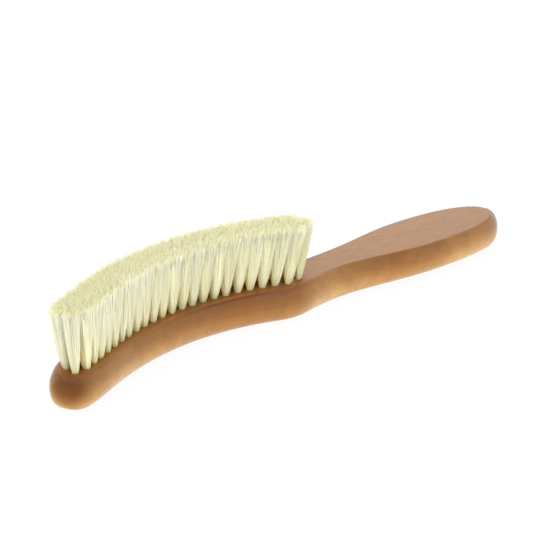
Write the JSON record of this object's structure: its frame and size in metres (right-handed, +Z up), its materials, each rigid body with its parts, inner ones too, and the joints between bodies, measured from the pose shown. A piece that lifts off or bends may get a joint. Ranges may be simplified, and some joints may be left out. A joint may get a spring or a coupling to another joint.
{
  "type": "hat brush",
  "caption": "Curved wooden hat brush with a straight handle, flat on top and rounded below, with upright tufts of pale bristle in rows along its curved head.",
  "frame": {"origin": "on the narrow flat of the rounded underside, on the handle's centreline, where the straight handle meets the neck", "axes": "+X along the straight handle towards its end, +Z up out of the flat face and along the bristles, the concave side of the curved head faces -Y"},
  "size_m": [0.258, 0.0458, 0.0449],
  "materials": {
    "lacquered_wood": "satin clear lacquer over a fine straight grain",
    "natural_bristle": "pale natural bristle, trimmed level"
  },
  "bodies": {
    "root": {"wooden_back": "lacquered_wood", "tuft_near_01": "natural_bristle", "tuft_near_02": "natural_bristle", "tuft_near_03": "natural_bristle", "tuft_near_04": "natural_bristle", "tuft_near_05": "natural_bristle", "tuft_near_06": "natural_bristle", "tuft_near_07": "natural_bristle", "tuft_near_08": "natural_bristle", "tuft_near_09": "natural_bristle", "tuft_near_10": "natural_bristle", "tuft_near_11": "natural_bristle", "tuft_near_12": "natural_bristle", "tuft_near_13": "natural_bristle", "tuft_near_14": "natural_bristle", "tuft_near_15": "natural_bristle", "tuft_near_16": "natural_bristle", "tuft_near_17": "natural_bristle", "tuft_near_18": "natural_bristle", "tuft_near_19": "natural_bristle", "tuft_near_20": "natural_bristle", "tuft_near_21": "natural_bristle", "tuft_near_22": "natural_bristle", "tuft_near_23": "natural_bristle", "tuft_far_01": "natural_bristle", "tuft_far_02": "natural_bristle", "tuft_far_03": "natural_bristle", "tuft_far_04": "natural_bristle", "tuft_far_05": "natural_bristle", "tuft_far_06": "natural_bristle", "tuft_far_07": "natural_bristle", "tuft_far_08": "natural_bristle", "tuft_far_09": "natural_bristle", "tuft_far_10": "natural_bristle", "tuft_far_11": "natural_bristle", "tuft_far_12": "natural_bristle", "tuft_far_13": "natural_bristle", "tuft_far_14": "natural_bristle", "tuft_far_15": "natural_bristle", "tuft_far_16": "natural_bristle", "tuft_far_17": "natural_bristle", "tuft_far_18": "natural_bristle", "tuft_far_19": "natural_bristle", "tuft_far_20": "natural_bristle", "tuft_far_21": "natural_bristle", "tuft_far_22": "natural_bristle", "tuft_far_23": "natural_bristle", "tuft_heel": "natural_bristle"}
  },
  "joints": []
}
